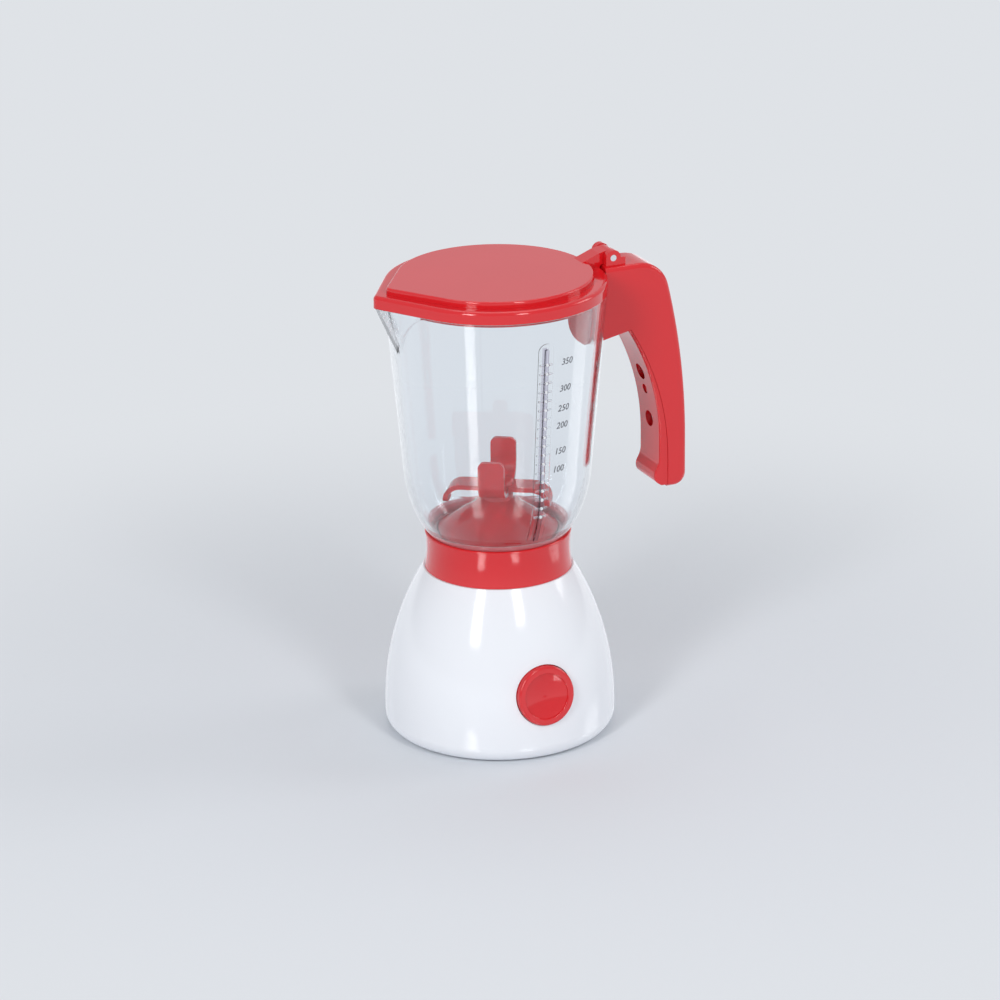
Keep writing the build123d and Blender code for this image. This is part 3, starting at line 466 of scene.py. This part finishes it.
def dome(radius, sides, rings):
    """Half a ball on its flat side, with its crest up +Z.

    Its points and faces are listed here, so that each run gives the same mesh.
    """
    points = [(0, 0, radius)]
    faces = []
    for ring in range(rings):
        from_crest = radians(90) * (ring + 1) / rings
        first = len(points)
        for side in range(sides):
            turned = radians(360) * side / sides
            points.append(
                (
                    radius * sin(from_crest) * cos(turned),
                    radius * sin(from_crest) * sin(turned),
                    radius * cos(from_crest),
                )
            )
            here = first + side
            beside = first + (side + 1) % sides
            if ring:
                faces.append((here - sides, here, beside, beside - sides))
            else:
                faces.append((0, here, beside))
    faces.append(tuple(reversed(range(first, first + sides))))
    mesh = bpy.data.meshes.new("dome")
    mesh.from_pydata(points, [], faces)
    made = bpy.data.objects.new("dome", mesh)
    scene.collection.objects.link(made)
    return made


def moulded_pips():
    """Little domes along the rib, one at each mark."""
    bearing = radians(rib_bearing)
    inward = Vector((-sin(bearing), cos(bearing), 0))
    pips = []
    for count in range(scale_marks):
        height = (scale_top - count * scale_step) * MM
        start = Vector((0, 0, height)) - stand_off * MM * inward
        crest = nodes["jug"].ray_cast(start, inward)[1]
        pip = dome(pip_radius * MM, pip_sides, pip_rings)
        pip.rotation_euler = (radians(90), 0, bearing)
        pip.location = crest - wall_lift * MM * inward
        pick(pip)
        bpy.ops.object.transform_apply(location=True, rotation=True, scale=True)
        pips.append(pip)
    pick(*pips)
    bpy.ops.object.shade_smooth_by_angle(angle=smooth_angle)
    return join(pips, "graduation_pips")


def printed_numbers():
    """Graduation figures beside the scale."""
    figures = []
    for words, bearing, height in figures_beside_scale:
        bpy.ops.object.text_add()
        figure = bpy.context.object
        figure.data.body = words
        figure.data.size = figure_size * MM
        figure.data.shear = figure_slant
        figure.data.offset = figure_boldness * MM
        figure.data.align_x = "CENTER"
        figure.data.align_y = "CENTER"
        figure.data.resolution_u = 3
        pick(figure)
        bpy.ops.object.convert(target="MESH")
        figure = bpy.context.object
        place_in_front(figure, bearing, height)
        lay_on_jug(figure, ink_thickness)
        figures.append(figure)
    return join(figures, "graduation_numbers")


def compressed_spring():
    """A copy of the return spring, its wire merged into one skin, in place of the original.
    """
    pick(nodes["button_spring"])
    bpy.ops.object.duplicate()
    spring = bpy.context.object
    spring.name = "return_spring"
    pick(spring)
    bpy.ops.object.mode_set(mode="EDIT")
    bpy.ops.mesh.select_all(action="SELECT")
    bpy.ops.mesh.remove_doubles(threshold=weld_distance * MM)
    bpy.ops.object.mode_set(mode="OBJECT")
    bpy.ops.object.shade_smooth_by_angle(angle=smooth_angle)
    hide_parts("button_spring")
    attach(spring, "base")
    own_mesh(spring)
    return spring


spring = compressed_spring()
marks = moulded_marks()
dress(marks, clear)
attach(marks, "jug")
pips = moulded_pips()
# the pips are white, as painted highlights
dress(pips, pip_painted_highlight)
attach(pips, "jug")
figures = printed_numbers()
dress(figures, ink)
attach(figures, "jug")

# ------------------------------------------------------------------ studio
backdrop_colour = (0.74, 0.765, 0.80, 1)
sky_colour = (0.93, 0.95, 1.0, 1)
sky_strength = 0.44
floor_size = 12
floor_gap = 0.05 * MM          # below the lowest point of the toy
floor_polish = 0.4
floor_polish_roughness = 0.12
fade_start, fade_end = 0.10, 0.42
lamp_aim = Vector((0, 0, 0.10))


def seen_rays(tree):
    """1 for rays that show the surroundings, 0 for those that light the object."""
    path = add(tree, "ShaderNodeLightPath")
    camera_ray, glossy_ray, transmission_ray = (
        path.outputs[f"Is {kind} Ray"] for kind in ("Camera", "Glossy", "Transmission")
    )
    direct = calculate(tree, "MAXIMUM", camera_ray, glossy_ray)
    return calculate(tree, "MAXIMUM", direct, transmission_ray)


def mirrored_rays(tree):
    """1 for rays off a glossy surface, 0 for all others, those through the jug too."""
    path = add(tree, "ShaderNodeLightPath")
    return calculate(
        tree, "MULTIPLY", path.outputs["Is Glossy Ray"], path.outputs["Is Reflection Ray"]
    )


def join_shaders(tree, kind, *terms):
    """Result of a node that takes shaders, such as a mix or a sum."""
    node = add(tree, kind)
    for term, socket in zip(terms, node.inputs):
        tree.links.new(term, socket)
    return node.outputs[0]


def plain_floor():
    """Pale floor that runs out into the backdrop's own brightness.

    It mirrors the lamps faintly, but only in what the toy reflects: upright walls seen
    from above reflect the floor, and get their highlights from it.
    """
    bpy.ops.object.select_all(action="DESELECT")
    lowest = cad_box[0][2]
    bpy.ops.mesh.primitive_plane_add(size=floor_size, location=(0, 0, lowest - floor_gap))
    floor = bpy.context.object
    floor.name = "floor"
    made, tree, shader = new_material("pale_floor", Base_Color=backdrop_colour, Roughness=0.9)
    glow = add(tree, "ShaderNodeEmission", Color=backdrop_colour, Strength=1.0)
    place = add(tree, "ShaderNodeTexCoord")
    away = add(tree, "ShaderNodeVectorMath", operation="LENGTH")
    tree.links.new(place.outputs["Object"], away.inputs[0])
    fade = add(
        tree,
        "ShaderNodeMapRange",
        interpolation_type="SMOOTHSTEP",
        From_Min=fade_start,
        From_Max=fade_end,
    )
    tree.links.new(away.outputs["Value"], fade.inputs["Value"])
    amount = calculate(tree, "MULTIPLY", fade.outputs["Result"], seen_rays(tree))
    polish = add(
        tree,
        "ShaderNodeBsdfPrincipled",
        Base_Color=(floor_polish, floor_polish, floor_polish, 1),
        Metallic=1.0,
        Roughness=floor_polish_roughness,
    )
    plain = join_shaders(
        tree, "ShaderNodeMixShader", amount, shader.outputs[0], glow.outputs[0]
    )
    polished = join_shaders(tree, "ShaderNodeAddShader", plain, polish.outputs[0])
    whole = join_shaders(tree, "ShaderNodeMixShader", mirrored_rays(tree), plain, polished)
    tree.links.new(whole, tree.nodes["Material Output"].inputs[0])
    floor.data.materials.append(made)


def backdrop_world():
    """Soft sky that lights the object and shows as the plain backdrop."""
    world = bpy.data.worlds.new("studio")
    scene.world = world
    world.use_nodes = True
    tree = world.node_tree
    sky = tree.nodes["Background"]
    sky.inputs["Color"].default_value = sky_colour
    sky.inputs["Strength"].default_value = sky_strength
    seen = add(tree, "ShaderNodeBackground", Color=backdrop_colour, Strength=1.0)
    both = join_shaders(
        tree, "ShaderNodeMixShader", seen_rays(tree), sky.outputs[0], seen.outputs[0]
    )
    tree.links.new(both, tree.nodes["World Output"].inputs[0])


def softbox(name, bearing, elevation, distance, size, power):
    """Oblong lamp that faces the object from a bearing round it and a height above it."""
    light = bpy.data.lights.new(name, "AREA")
    light.shape = "RECTANGLE"
    light.size, light.size_y = size
    light.energy = power
    lamp = bpy.data.objects.new(name, light)
    scene.collection.objects.link(lamp)
    round_z, up = radians(bearing), radians(elevation)
    away = Vector((sin(round_z) * cos(up), -cos(round_z) * cos(up), sin(up)))
    lamp.location = lamp_aim + distance * away
    lamp.rotation_euler = (-away).to_track_quat("-Z", "Y").to_euler()


plain_floor()
backdrop_world()
softbox("left_window", bearing=-52, elevation=28, distance=1.6, size=(0.28, 0.76), power=9)
softbox("right_window", bearing=4, elevation=32, distance=1.6, size=(0.28, 0.50), power=5.5)
softbox("side_fill", bearing=80, elevation=25, distance=1.7, size=(0.6, 0.6), power=4)
softbox("overhead", bearing=150, elevation=75, distance=1.6, size=(1.0, 1.0), power=5)

scene.view_settings.view_transform = "Standard"
